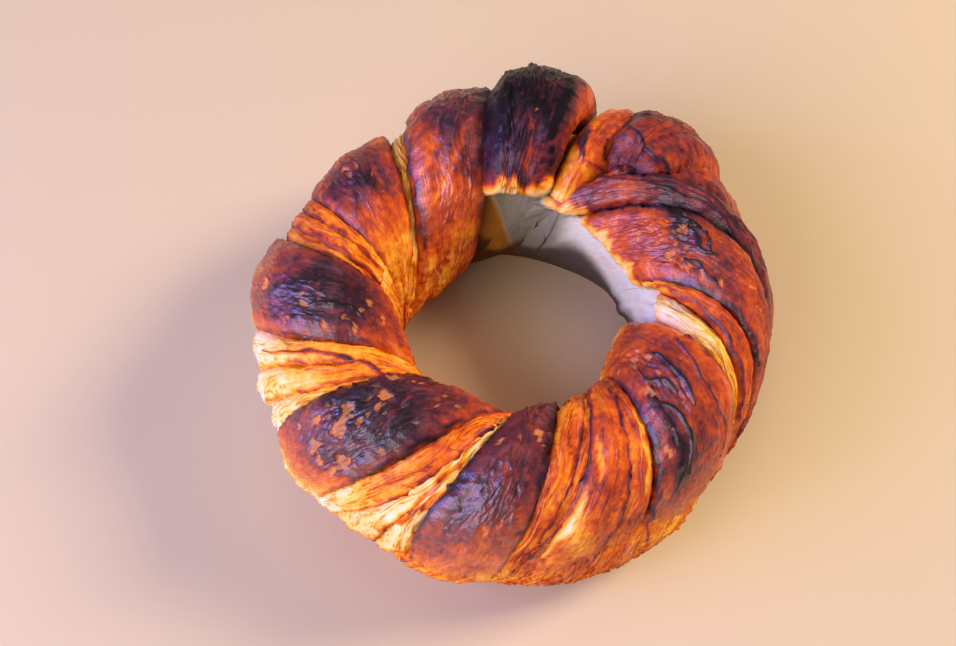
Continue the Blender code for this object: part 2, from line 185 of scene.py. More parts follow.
# Cracks: width and depth in millimetres (a raised vein has a negative depth), then either the
# seam that one follows and over which degrees round the section, or its own path, as degrees
# round the ring and round the section.
cracks = (
    (0.8, 0.8, "c", 70, 132), (0.8, 0.7, "b", 40, 134), (0.9, 0.6, "a", 20, 120),
    (0.8, 0.7, "d", 0, 100), (0.8, 0.7, "z", 0, 105), (0.8, 0.7, "g", 20, 150),
    (0.7, 0.6, "h", 20, 150), (0.7, 0.6, "i", 0, 140), (0.8, 0.8, "j", 0, 135),
    (0.8, 0.7, "k", 0, 130), (0.7, 0.6, "l", 0, 150), (0.7, 0.6, "m", 10, 150),
    (0.7, 0.6, "n", -10, 150), (0.7, 0.6, "o", -10, 150), (0.7, 0.6, "p", -10, 140),
    (0.8, 0.7, "q", 0, 150), (0.7, 0.7, "r", -20, 120), (0.8, 0.8, "s", -20, 100),
    (0.7, 0.6, "t", -10, 150), (0.8, 0.7, "u", 0, 150), (0.7, 0.7, "v", 10, 150),
    (0.7, 0.7, "w", 0, 140), (0.7, 0.8, "x", 0, 130), (0.9, 0.7, "y", 0, 130),
    (0.8, 0.6, ((57, 78), (53, 82), (47, 86.5), (43, 87), (40, 82), (36, 73), (32, 69), (28, 60), (24, 45))),
    (1.8, 1.6, ((66, 84), (65.5, 96), (64, 104))),
    (0.9, 0.6, ((60, 115), (47, 105), (33, 91.5), (26, 81.5), (21, 72.5), (12.5, 60))),
    (0.9, 0.5, ((57, 110), (44, 99), (32, 87), (25, 76), (18, 66), (12, 50))),
    (1.0, 0.9, ((9, 101), (5, 101), (4, 97), (2.6, 94), (0, 92), (-3, 86))),
    (1.0, 0.9, ((19, 96), (14.3, 92.8), (9, 93), (7, 91), (5, 86))),
    (1.4, 0.8, ((35, 111), (30, 102), (24, 93), (17, 91), (12, 87), (6, 89))),
    (0.9, 0.9, ((326, 108), (325, 100), (323, 91.5), (321, 84), (319, 76))),
    (2.6, 0.5, ((326, 112), (325, 100), (323, 91.5), (320, 80))),
    (0.8, 0.8, ((318, 110), (316.6, 102), (319, 94), (318.4, 87))),
    (0.8, 0.6, ((337, 104), (330, 92), (327, 83), (324, 73), (323, 58), (319, 35))),
    (0.9, 0.9, ((315, 97), (313, 91), (314, 85), (314.5, 78), (313.8, 70), (312, 62), (309, 49))),
    (3.0, 0.6, ((315, 98), (312, 90), (311, 80), (310, 66), (308, 54), (304, 34))),
    (0.9, 0.9, ((256, 76), (252, 62), (248, 47), (244.6, 30.5), (240, 12))),
    (0.9, 1.0, ((193.6, 43), (201.4, 75), (205.3, 88), (209.5, 96), (215, 102.5), (219.4, 109))),
    (0.8, 0.6, ((190, 83.5), (191, 92), (192, 103), (197, 110.5))),
    (0.8, 0.4, ((97, 50), (100, 64), (106.9, 88), (112.3, 101.8), (110, 118), (112, 130))),
    (1.4, 0.4, ((108, 60), (110.4, 72), (119.9, 91), (124, 104))),
    (1.1, 0.35, ((104, 62), (107, 84), (112, 97), (117, 110), (120, 124))),
    (1.1, 0.4, ((92, 62), (95, 80), (99, 96), (103, 110), (105, 124))),
    (0.9, -0.2, ((84.5, 94), (83.6, 104), (83, 111), (83.6, 117), (84.4, 124))),
    (1.4, 0.8, ((80, 84), (79, 98), (79.5, 110))),
    (1.2, 0.7, ((86, 70), (88, 84), (91, 96), (92, 108))),
    (1.0, -0.25, ((233.4, 82), (233.5, 93.5), (232.6, 105))),
    (1.0, -0.3, ((150.5, 62), (153.3, 74.8), (157.5, 101.5))),
    (0.8, 0.45, ((139, 70), (139.5, 80), (143, 90), (146, 98))),
    (1.0, -0.3, ((136.5, 82), (138.5, 92), (140.4, 99.5))),
    (0.8, 0.45, ((147, 88), (152, 95), (155, 98))),
    (1.3, 0.6, ((97, 40), (96, 70), (94, 90), (95, 112))),
    (1.2, 0.7, ((92, 48), (91, 66), (92, 84), (90, 104))),
    (1.3, 0.8, ((86, 50), (84, 68), (85, 84))),
    (1.2, 0.8, ((76, 62), (74, 80), (76, 98), (74, 114))),
    (1.3, -0.25, ((104, 90), (111, 104), (120, 116), (131, 125))),
    (1.3, -0.25, ((111, 82), (117, 96), (123, 104), (129, 109))),
    (2.2, 0.5, ((64, 106), (52, 100), (40, 90), (28, 76), (18, 62))),
    (1.5, -0.6, ((307, 96), (303.5, 80), (302, 66), (298, 47))),
    (1.3, -0.6, ((292.4, 92), (291.4, 82), (289, 70))),
    (1.7, -0.6, ((285, 66), (282, 52), (278.4, 39), (275, 20))),
)

# Flakes and blisters of the skin: degrees round the ring and round the section, length and
# width in millimetres, turn from the fold's run in degrees, height in millimetres, and the
# browning in its middle.
marks = (
    (223, 106, 7.0, 1.8, 50, 0.4, 0.42), (227.5, 95, 5.0, 2.1, 45, 0.5, 0.40),
    (231, 114, 4.4, 1.4, 40, 0.4, 0.38), (229, 88, 2.1, 1.8, 0, 0.6, 0.36),
    (228.4, 82.5, 1.5, 1.3, 0, 0.6, 0.36), (228, 77, 2.1, 1.8, 0, 0.5, 0.40),
    (222.8, 78, 4.3, 2.9, 40, 0.6, 0.44), (225, 69, 5.4, 4.0, 30, 0.6, 0.42),
    (219, 62, 3.2, 2.1, 45, 0.5, 0.44), (222, 51, 4.3, 2.6, 40, 0.5, 0.36),
    (224.5, 47, 2.1, 3.2, 0, 0.4, 0.36), (229.5, 54.5, 5.4, 2.8, 45, 0.6, 0.40),
    (227.8, 44, 2.9, 1.6, 40, 0.4, 0.34), (232, 58, 1.4, 2.1, 0, 0.5, 0.38),
    (219, 74, 1.8, 1.4, 20, 0.5, 0.42), (217, 86, 3.0, 1.2, 50, 0.4, 0.46),
    (236, 72, 2.4, 1.2, 45, 0.4, 0.42), (216, 50, 2.2, 1.4, 45, 0.5, 0.40),
    (21.7, 103, 3.8, 3.0, 60, 0.7, 0.50), (17, 97, 4.2, 3.0, 60, 0.8, 0.48),
    (11.3, 86, 3.6, 3.6, 0, 0.8, 0.52), (18.4, 91, 2.2, 1.8, 60, 0.6, 0.56),
    (15, 87, 1.4, 0.9, 30, 0.4, 0.26), (10.3, 81.5, 1.2, 0.8, 30, 0.4, 0.30),
    (9.8, 99, 1.7, 1.2, 60, 0.5, 0.30), (12.4, 103.2, 1.5, 1.0, 60, 0.4, 0.32),
    (9.4, 108.2, 3.6, 2.4, 60, 0.6, 0.30), (6.1, 103.5, 2.2, 2.0, 0, 0.7, 0.56),
    (9.9, 64, 1.8, 1.0, 30, 0.3, 0.34), (8, 58, 2.6, 1.0, 10, 0.4, 0.32),
    (358, 66, 2.8, 1.0, 10, 0.4, 0.30), (3, 100, 3.4, 1.2, 70, 0.5, 0.28),
    (359.5, 94, 3.0, 1.2, 70, 0.4, 0.26), (357.3, 85, 2.6, 1.0, 60, 0.4, 0.28),
    (27, 112, 2.0, 1.6, 60, 0.5, 0.50), (24, 118, 1.6, 1.4, 60, 0.4, 0.46),
    (16, 112, 1.8, 1.4, 30, 0.4, 0.50), (2, 76, 3.0, 1.6, 30, 0.6, 0.50),
    (6, 70, 2.2, 1.4, 30, 0.5, 0.52), (354, 58, 3.2, 1.4, 10, 0.5, 0.44),
    (39, 112, 2.2, 1.8, 60, 0.7, 0.70), (35, 107, 2.0, 1.8, 60, 0.7, 0.66),
    (31, 101, 2.0, 1.6, 60, 0.6, 0.72), (42, 115, 1.6, 1.4, 60, 0.5, 0.66),
    (38, 70, 3.6, 3.0, 0, 0.8, 0.62), (57, 92, 4.6, 4.2, 0, 1.4, 0.50),
    (43, 93, 2.4, 2.2, 0, 0.9, 0.56), (50, 97, 2.2, 2.0, 0, 0.7, 0.50),
    (184.6, 88.8, 3.8, 1.8, 60, 0.4, 0.64), (188.3, 89, 3.2, 1.8, 60, 0.4, 0.60),
    (189.5, 116, 3.4, 1.8, 60, 0.6, 0.44), (193.6, 110, 1.8, 1.4, 60, 0.6, 0.42),
    (183, 118, 3.0, 2.2, 30, 0.5, 0.52), (197, 89, 2.8, 1.0, 60, 0.4, 0.44),
    (196, 99.5, 1.6, 1.2, 60, 0.4, 0.36), (186.7, 81, 1.2, 1.0, 0, 0.5, 0.30),
    (191.4, 70, 1.4, 1.2, 0, 0.5, 0.36), (196, 124, 4.2, 1.4, 75, 0.5, 0.30),
    (180, 58, 4.0, 1.8, 60, 0.5, 0.26), (194, 78, 1.6, 1.2, 60, 0.4, 0.60),
    (193, 62, 1.4, 1.0, 60, 0.4, 0.40), (200, 104, 3.4, 1.4, 70, 0.4, 0.46),
    (264.5, 95, 2.6, 1.1, 20, 0.6, 0.18), (273.7, 104.5, 1.2, 0.9, 0, 0.5, 0.26),
    (270.5, 97, 1.4, 1.0, 0, 0.5, 0.36), (276.4, 99, 4.6, 1.6, 0, 0.4, 0.44),
    (267, 82, 2.8, 1.6, 10, 0.3, 0.58), (270, 60, 3.4, 1.6, 0, 0.4, 0.52),
    (272, 80, 3.8, 1.2, 0, 0.3, 0.54), (263, 50, 3.0, 1.6, 20, 0.3, 0.52),
    (324, 109.5, 2.6, 1.8, 20, 0.6, 0.36), (313.4, 97, 4.0, 2.2, 5, 0.6, 0.44),
    (307, 68, 3.2, 1.2, 5, 0.4, 0.46), (319, 130, 1.6, 1.4, 0, 0.5, 0.30),
    (316, 122, 1.4, 1.2, 0, 0.5, 0.34), (320, 99, 1.2, 0.9, 0, 0.5, 0.36),
    (318, 84, 1.6, 1.0, 0, 0.4, 0.50), (317, 66, 3.4, 1.2, 5, 0.5, 0.56),
    (315, 50, 3.0, 1.0, 5, 0.4, 0.50), (322, 118, 2.4, 1.6, 30, 0.5, 0.46),
    (77, 95, 3.4, 1.6, 20, 0.6, 0.84), (75, 99, 2.6, 1.2, 20, 0.5, 0.80),
    (91, 97, 6.0, 1.6, 10, 0.5, 0.84), (86.5, 86, 5.2, 1.2, 15, 0.5, 0.82),
    (92.5, 127, 3.2, 3.0, 0, 1.2, 0.40),
    (148.5, 66, 4.0, 1.6, 30, 0.4, 0.66), (142.6, 73, 3.0, 2.2, 20, 0.7, 0.34),
)


def toLinear(hexColour):
    parts = [int(hexColour[i:i + 2], 16) / 255 for i in (1, 3, 5)]
    return [c / 12.92 if c <= 0.04045 else ((c + 0.055) / 1.055) ** 2.4 for c in parts] + [1]


def addNode(tree, kind, settings=None, inputs=None):
    node = tree.nodes.new(kind if "Node" in kind else "ShaderNode" + kind)
    for name, value in (settings or {}).items():
        setattr(node, name, value)
    for name, value in (inputs or {}).items():
        if isinstance(value, bpy.types.Node):
            value = value.outputs[0]
        if isinstance(value, bpy.types.NodeSocket):
            tree.links.new(value, node.inputs[name])
        else:
            node.inputs[name].default_value = value
    return node


# The settings that several nodes share.
plus, minus, times, over, timesPlus = ({"operation": kind} for kind in (
    "ADD", "SUBTRACT", "MULTIPLY", "DIVIDE", "MULTIPLY_ADD"))
eased, unclamped = {"interpolation_type": "SMOOTHSTEP"}, {"clamp": False}
number, inColour = {"data_type": "FLOAT"}, {"data_type": "RGBA"}
noiseSpan = {1: 0.3, 2: 0.7}    # most of a noise's values lie between these


def smooth(x):
    x = np.clip(x, 0, 1)
    return x * x * (3 - 2 * x)


def seamAngle(seam, turn):
    outer, crest, inner = seams[seam]
    onDough = np.clip(turn, -1, 1)
    slope, bend = (inner - outer) / 2, (inner + outer) / 2 - crest
    return crest + slope * onDough + bend * onDough ** 2 + 90 * dough["pitch"] * (turn - onDough)


def shortestWay(degrees):
    return (degrees + 180) % 360 - 180


def foldLift(lift, turn):
    outer, crest, inner = lift
    side = np.where(turn > 0, inner, outer)
    return crest + (side - crest) * smooth(abs(turn))


def signedPower(x, power):
    return np.sign(x) * abs(x) ** power


def sectionPoint(angle, height):
    halfHeight = (dough["crumbHeight"] + dough["sag"]) / 2
    c, s = np.cos(np.radians(angle)), np.sin(np.radians(angle))
    bend = 2 / dough["squareness"]
    normalAcross = signedPower(c, 2 - bend) / dough["halfWidth"]
    normalUp = signedPower(s, 2 - bend) / halfHeight
    length = np.hypot(normalAcross, normalUp)
    return (dough["halfWidth"] * signedPower(c, bend) + height * normalAcross / length,
            halfHeight - dough["sag"] + halfHeight * signedPower(s, bend)
            + height * normalUp / length)


def ringPoint(around, angle, height):
    across, up = sectionPoint(angle, height)
    reach, turn = dough["ringRadius"] + across, np.radians(around)
    rounding = dough["undersideRounding"]    # flattens the face that it rests on
    up = dough["underside"] + rounding * np.logaddexp(0, (up - dough["underside"]) / rounding)
    return np.stack([dough["centre"][0] + reach * np.cos(turn),
                     dough["centre"][1] + reach * np.sin(turn), up], -1)


grid = {"rows": 270, "edgePoints": 13, "spacing": 0.42}    # mesh fineness, spacing in mm


# Half of a fold's section from its foot to its top: columns of distance across and height.
def edgeOutline(kind, halfWidth, lift):
    count, root = grid["edgePoints"], dough["rootDepth"]
    if kind == "roll":
        radius = np.minimum(dough["radiusToLift"] * lift, dough["radiusToWidth"] * halfWidth)
        radius = np.minimum(radius, dough["edgeRadius"])
        centre = halfWidth + dough["overhang"] - radius
        arc = np.radians(np.linspace(-70, 90, count))
        across = centre + radius * np.cos(arc)
        up = lift - radius + radius * np.sin(arc)
        return (np.hstack([centre + dough["edgeFoot"] * radius, across]),
                np.hstack([0 * lift - root / 2, up]))
    share = np.linspace(1, 0, count + 1)
    if kind == "fade":
        across = halfWidth * (dough["fadeTop"] + (1 - dough["fadeTop"]) * share)
        return across, (lift + root / 2) * (1 - smooth(share)) - root / 2
    top = dough["tuckTop"] * halfWidth
    across = top + (halfWidth + dough["tuck"] - top) * share
    return across, (lift + root / 2) * (1 - share ** dough["tuckBend"]) - root / 2


def foldGrid(name):
    fold = folds[name]
    first, last = fold["seams"]
    foldEnd = fold.get("end", dough["foldEnd"])
    angle = np.linspace(dough["foldStart"], foldEnd, grid["rows"])[:, None]
    turn = angle / 90 - 1
    start = seamAngle(first, turn)
    end = start + shortestWay(seamAngle(last, turn) - start)
    perDegree = (dough["ringRadius"] + sectionPoint(angle, 0)[0]) * pi / 180
    halfWidth = np.maximum((end - start) / 2 * perDegree, dough["leastHalfWidth"])
    risen = smooth((angle - dough["foldStart"]) / dough["endTaper"])
    risen = risen * smooth((foldEnd - angle) / fold.get("taper", dough["endTaper"]))
    lift = foldLift(fold["lift"], turn)
    lift = lift + (dough["wallLift"] - lift) * smooth((angle - fold.get("pale", 360)) / dough["wallStep"])
    lift = np.maximum(lift * (dough["endLift"] + (1 - dough["endLift"]) * risen), dough["leastLift"])
    leftEdge, rightEdge = fold["edges"].split()
    leftAcross, leftUp = edgeOutline(leftEdge, halfWidth, lift)
    rightAcross, rightUp = edgeOutline(rightEdge, halfWidth, lift)
    rightAcross, rightUp = rightAcross[:, ::-1], rightUp[:, ::-1]
    count = 3 + int(2 * halfWidth.max() / grid["spacing"])
    share = np.linspace(-1, 1, count + 2)[None, 1:-1]
    middle = (rightAcross[:, :1] - leftAcross[:, -1:]) / 2
    reach = (rightAcross[:, :1] + leftAcross[:, -1:]) / 2
    crown = dough["crown"] * np.minimum(halfWidth, dough["crownWidth"])
    across = np.hstack([-leftAcross, middle + reach * share, rightAcross])
    up = np.hstack([leftUp, lift + crown * (1 - share ** 2) ** 2, rightUp])
    around = (start + end) / 2 + across / perDegree
    places = ringPoint(around, angle, up)
    root = dough["rootWidth"] * halfWidth
    rootAround = (start + end) / 2 + np.hstack([root, -root]) / perDegree
    roots = ringPoint(rootAround, angle, -dough["rootDepth"] + 0 * rootAround)
    return places, roots, around, angle


def patchField(patchList, around, angle):
    field = 0 * around
    for ringAngle, sectionAngle, halfRound, halfOver, amount in patchList:
        x = shortestWay(around - ringAngle) / halfRound
        y = (angle - sectionAngle) / halfOver
        field = field + amount * np.exp(-(x * x + y * y) ** 1.5)
    return field


crackShape = {"wander": 0.25, "endWidth": 0.3, "farDegrees": 25}    # mm, share, degrees


# How deep each point lies in a crack, measured over the surface.
def crackField(crack, places, around, angle):
    width, depth, line = crack[:3]
    if isinstance(line, str):
        down = np.arange(crack[3], crack[4] + 1, 10.0)
        path = np.stack([seamAngle(line, down / 90 - 1), down], -1)
    else:
        path = np.array(line, float)
    angle = angle + 0 * around
    if abs(shortestWay(around - path[len(path) // 2, 0])).min() > crackShape["farDegrees"]:
        return 0 * around
    reach = np.hypot(places[..., 0] - dough["centre"][0], places[..., 1] - dough["centre"][1])
    scale = np.stack([np.radians(reach), 0 * reach + dough["sectionDegree"]], -1)
    wander = np.stack([np.sin(angle * 0.35 + path[0, 0]), np.sin(around * 0.9)], -1)
    wander = crackShape["wander"] * wander
    nearest = np.full(around.shape, 1e9)
    for i in range(len(path) - 1):
        step = (path[i + 1] - path[i]) * scale
        offset = np.stack([shortestWay(around - path[i, 0]), angle - path[i, 1]], -1) * scale + wander
        along = np.clip((offset * step).sum(-1) / (step * step).sum(-1), 0, 1)
        gap = np.linalg.norm(offset - along[..., None] * step, axis=-1)
        fromEnd = np.minimum(i + along, len(path) - 1 - i - along)
        pinch = crackShape["endWidth"] + (1 - crackShape["endWidth"]) * np.clip(fromEnd, 0, 1)
        nearest = np.minimum(nearest, gap / pinch)
    return depth * np.exp(-(nearest / width) ** 2 * 2)


markShape = {    # shares of a flake's or blister's size
    "half": 0.42, "ragged": 0.2, "finelyRagged": 0.12, "edge": 1.15, "edgeSoftness": 0.35,
    "groove": 1.25, "grooveWidth": 0.22, "grooveDepth": 0.35,
    "lip": 0.75, "lipWidth": 0.3, "middleTone": 0.6,    # its edge dries out palest
    "farDegrees": 6, "farUp": 5,                        # degrees and mm
}


# What a flake or blister does to a fold: how much it rises, and how far its browning holds.
def markField(where, places, lift, around):
    ringAngle, angle, length, width, turned = where
    if abs(shortestWay(around - ringAngle)).min() > markShape["farDegrees"]:
        return 0 * around, 0 * around
    turn = angle / 90 - 1
    centre = ringPoint(ringAngle, angle, foldLift(lift, turn))
    run = ringPoint(ringAngle + dough["pitch"], angle + 1.0, foldLift(lift, turn)) - centre
    side = ringPoint(ringAngle + 1.0, angle, foldLift(lift, turn)) - centre
    run, side = run / np.linalg.norm(run), side / np.linalg.norm(side)
    up = np.cross(side, run)
    offset = places - centre
    c, s = np.cos(np.radians(turned)), np.sin(np.radians(turned))
    x = (offset @ run * c + offset @ side * s) / (length * markShape["half"])
    y = (offset @ side * c - offset @ run * s) / (width * markShape["half"])
    facing = np.arctan2(y, x)
    ragged = 1 + markShape["ragged"] * np.sin(3 * facing + ringAngle)
    ragged = ragged + markShape["finelyRagged"] * np.sin(7 * facing + 3 * angle)
    reach = np.hypot(x, y) / ragged + (offset @ up / markShape["farUp"]) ** 4
    flake = smooth((markShape["edge"] - reach) / markShape["edgeSoftness"])
    groove = np.exp(-((reach - markShape["groove"]) / markShape["grooveWidth"]) ** 2)
    lip = np.exp(-((reach - markShape["lip"]) / markShape["lipWidth"]) ** 2)
    tone = markShape["middleTone"] + (1 - markShape["middleTone"]) * lip
    return flake - markShape["grooveDepth"] * groove, flake * tone


browning = {    # what each thing adds to its fold's browning; the tuck, line and split darkening is partly painted shade, the vein paling partly a painted highlight
    "tuck": 0.16, "vein": 0.5, "mark": 0.6, "dryBelow": 0.5,
    "line": 0.22, "lumps": 0.10, "wrinkles": -0.2, "split": 0.36,
    "rimFrom": 0.3, "rimWidth": 0.4, "tuckFrom": 0.7, "tuckWidth": 0.2,    # shares of half a fold
    "layers": (-0.09, 0.07), "clouds": (-0.10, 0.06), "cloudsPerMetre": 110.0,    # 9 mm each
}

# Browning and painted shade of the inner wall, and degrees round the ring or round the section.
innerWall = {
    "golden": 0.27, "raw": 0.02, "rawInShade": 0.32, "edgeWander": (3, 1.5),
    "goldenAhead": 7, "goldenWidth": 6, "rawBehind": 1, "rawWidth": 7,    # of the pale angle
    "low": 169, "lowHeight": 18, "lowWander": 8,                  # painted shade near its foot
    "shadeMiddle": 140, "shadeHalf": 45, "shadeEdge": 4, "shade": 0.66,    # painted shade under the back left folds
    "cornerMiddle": 82, "cornerHalf": 24, "cornerEdge": 12, "cornerShade": 0.72,    # painted shade in the corner behind the back fold
}


# The inner wall past a fold's pale angle: how golden and raw it is, its raw tone, and the painted shade on
# it.
def wallFields(pale, around, angle):
    coarse, fine = innerWall["edgeWander"]
    edge = pale + coarse * np.sin(around * 0.31 + 1) + fine * np.sin(around * 0.83)
    # the dough turns golden just over the rim
    golden = smooth((angle - edge + innerWall["goldenAhead"]) / innerWall["goldenWidth"])
    raw = smooth((angle - edge - innerWall["rawBehind"]) / innerWall["rawWidth"])
    footEdge = innerWall["low"] - innerWall["lowWander"] * np.sin(around * 0.11)
    low = smooth((angle - footEdge) / innerWall["lowHeight"])
    fromShade = abs(shortestWay(around - innerWall["shadeMiddle"]))
    inShade = innerWall["shadeHalf"] - fromShade + (angle - 150) * 0.2    # wider further down
    inShade = smooth(inShade / innerWall["shadeEdge"])
    fromCorner = abs(shortestWay(around - innerWall["cornerMiddle"]))
    behind = smooth((innerWall["cornerHalf"] - fromCorner) / innerWall["cornerEdge"])
    shade = np.maximum(innerWall["shade"] * inShade, innerWall["cornerShade"] * behind)
    # the raw wall under the back left folds is browner, partly its own golden brown and partly painted shade
    rawTone = innerWall["raw"] + innerWall["rawInShade"] * inShade
    return golden, raw, rawTone, raw * np.maximum(low, shade)


eggWash = {    # where it reaches: shares of half a fold, degrees round the section
    "edgeFrom": 0.6, "edgeWidth": 0.4, "edgeLoss": 0.6, "first": -10, "last": 165, "fade": 30,
}


def makeFold(name):
    fold = folds[name]
    places, roots, around, angle = foldGrid(name)
    rows, columns = around.shape
    outline = np.linalg.norm(np.diff(places, axis=1), axis=-1)
    position = np.hstack([np.zeros((rows, 1)), np.cumsum(outline, 1)])
    share = 2 * position / position[:, -1:] - 1    # -1 and 1 at the fold's two feet
    crestRow = rows // 2
    across = share * position[crestRow, -1] / 2
    middle = places[:, columns // 2]
    along = np.concatenate([[0], np.cumsum(np.linalg.norm(np.diff(middle, axis=0), axis=1))])
    along = along[:, None] + 0 * across
    baked = np.interp(angle[:, 0], brownStations, fold["brown"])[:, None] + 0 * across
    for side, kind, rim in zip((-1, 1), fold["edges"].split(), fold["rim"]):
        baked = baked + rim * smooth((side * share - browning["rimFrom"]) / browning["rimWidth"])
        # where a fold tucks under its neighbour it is darker, partly browner and partly painted shade in the
        # crease
        if kind == "tuck":
            tuckDarkening = smooth((side * share - browning["tuckFrom"]) / browning["tuckWidth"])
            baked = baked + browning["tuck"] * tuckDarkening
    baked = baked + patchField(patches, around, angle)
    golden, raw, rawTone, shade = wallFields(fold.get("pale", 360), around, angle)
    baked = baked * (1 - golden) + innerWall["golden"] * golden
    baked = baked * (1 - raw) + rawTone * raw
    edge = smooth((abs(share) - eggWash["edgeFrom"]) / eggWash["edgeWidth"])
    skin = fold["skin"] * (1 - eggWash["edgeLoss"] * edge)
    for fromEnd in (angle - eggWash["first"], eggWash["last"] - angle):
        skin = skin * smooth(fromEnd / eggWash["fade"])
    blister = patchField(blisterPatches, around, angle) * fold["skin"]
    cut, vein = 0 * across, 0 * across
    for crack in cracks:
        field = crackField(crack, places, around, angle)
        cut, vein = np.maximum(cut, field), np.minimum(vein, field)
    # raised veins are paler, partly paler dough and partly a painted highlight along the ridge
    baked = baked + browning["vein"] * vein
    raised, flake, dry = 0 * across, 0 * across, 0 * across
    for *where, height, tone in marks:
        rise, hold = markField(where, places, fold["lift"], around)
        raised = raised + height * rise * (1 - flake)
        baked = baked + (tone - baked) * hold * browning["mark"]
        flake = np.maximum(flake, hold)
        dry = np.maximum(dry, hold * (tone < browning["dryBelow"]))
    return fineMesh(name, places, roots, {"across": across, "along": along, "brown": baked,
                                          "skin": skin, "blister": blister, "split": cut,
                                          "raised": raised - vein, "mark": dry, "raw": raw,
                                          "shade": shade})


# The faces between the points of a grid whose columns close on themselves.
def gridFaces(rows, columns, closedRows):
    row, column = np.meshgrid(np.arange(rows if closedRows else rows - 1), np.arange(columns),
                              indexing="ij")
    nextRow, nextColumn = (row + 1) % rows, (column + 1) % columns
    return np.stack([row * columns + column, nextRow * columns + column,
                     nextRow * columns + nextColumn, row * columns + nextColumn],
                    -1).reshape(-1, 4).tolist()


def addToScene(name, data):
    thing = bpy.data.objects.new(name, data)
    bpy.context.scene.collection.objects.link(thing)
    return thing


# A smooth piece from places in millimetres, its faces and what is known at each place.
def asPiece(name, places, faces, fields):
    shape = bpy.data.meshes.new(name)
    shape.from_pydata((places.reshape(-1, 3) * 0.001).tolist(), [], faces)
    for key, field in fields.items():
        layer = shape.attributes.new(key, "FLOAT", "POINT")
        layer.data.foreach_set("value", field.reshape(-1).astype(np.float32))
    shape.shade_smooth()
    return addToScene(name, shape)


# A closed body from a fold's grid and its roots.
def fineMesh(name, places, roots, fields):
    rows, columns = places.shape[:2]
    ring = np.concatenate([places, roots], axis=1)
    count = ring.shape[1]
    caps = [list(range(count)), [(rows - 1) * count + i for i in reversed(range(count))]]
    return asPiece(name, ring, gridFaces(rows, count, False) + caps,
                   {key: np.hstack([field, np.repeat(field[:, :1], count - columns, 1)])
                    for key, field in fields.items()})


relief = {    # lengths in mm
    "Layer spacing": 1.5,      # between the cut layers of the dough
    "Layer length": 26.0,      # how far a layer runs before it changes
    "Layer height": 0.6,
    "Wrinkle spacing": 1.7,    # between the wrinkles of the skin
    "Wrinkle length": 4.5,
    "Wrinkle height": 0.36,
    "Blister spacing": 2.6,
    "Blister height": 0.7,
    "Lump size": 7.0,
    "Lump height": 0.9,
}


